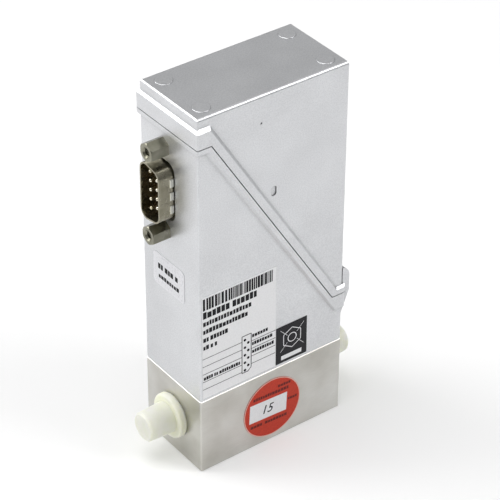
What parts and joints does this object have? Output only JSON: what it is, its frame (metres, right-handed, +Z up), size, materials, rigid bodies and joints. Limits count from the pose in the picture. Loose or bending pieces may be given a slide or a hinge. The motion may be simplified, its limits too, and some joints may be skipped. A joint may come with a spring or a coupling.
{
  "type": "mass flow meter",
  "caption": "Compact thermal gas flow meter: steel base with capped in-line ports, two-part cast housing with a stepped diagonal seam, and a nine-pin connector.",
  "frame": {"origin": "centre of the base's bottom face", "axes": "+X downstream, so the connector face looks along -X; -Y is the long side with the type label; +Z up"},
  "size_m": [0.0674, 0.0262, 0.1111],
  "materials": {
    "base_steel": "ground",
    "inner_steel": "machined",
    "casting": "satin silver",
    "cap_plastic": "translucent natural",
    "seal_rubber": "matt",
    "winding_wire": "enamelled",
    "dark_steel": "blackened",
    "aluminium_can": "satin",
    "flex_film": "satin",
    "board_laminate": "lacquered",
    "chip_plastic": "matt",
    "header_plastic": "satin",
    "nickel_shell": "dull nickel",
    "insulator_plastic": "moulded",
    "contact_metal": "plated",
    "label_white": "printed foil",
    "label_black": "printed foil",
    "label_red": "printed foil"
  },
  "bodies": {
    "root": {"base_block": "base_steel", "inlet_cap": "cap_plastic", "outlet_cap": "cap_plastic", "inlet_screen": "inner_steel", "screen_ring": "dark_steel", "flow_core": "inner_steel", "core_nut": "inner_steel", "flow_disc_1": "inner_steel", "flow_disc_2": "inner_steel", "flow_disc_3": "inner_steel", "flow_disc_4": "inner_steel", "flow_disc_5": "inner_steel", "flow_disc_6": "inner_steel", "flow_disc_7": "inner_steel", "flow_disc_8": "inner_steel", "sensor_block": "inner_steel", "sensor_seals": "seal_rubber", "sensor_tube": "inner_steel", "winding_upstream": "winding_wire", "winding_downstream": "winding_wire", "sensor_cover": "aluminium_can", "sensor_screws": "dark_steel", "sensor_flex": "flex_film", "lower_housing": "casting", "upper_cover": "casting", "housing_screws": "dark_steel", "cover_screw": "inner_steel", "main_board": "board_laminate", "board_screws": "inner_steel", "processor_chip": "chip_plastic", "amplifier_chip": "chip_plastic", "regulator_chip": "chip_plastic", "capacitors": "aluminium_can", "crystal_can": "aluminium_can", "sensor_header": "header_plastic", "plug_shell": "nickel_shell", "plug_insulator": "insulator_plastic", "plug_pins": "contact_metal", "jackscrew_upper": "nickel_shell", "jackscrew_lower": "nickel_shell", "jackscrew_nuts": "nickel_shell", "type_label": "label_white", "symbol_label": "label_black", "signal_label": "label_white", "round_label": "label_red"}
  },
  "joints": []
}
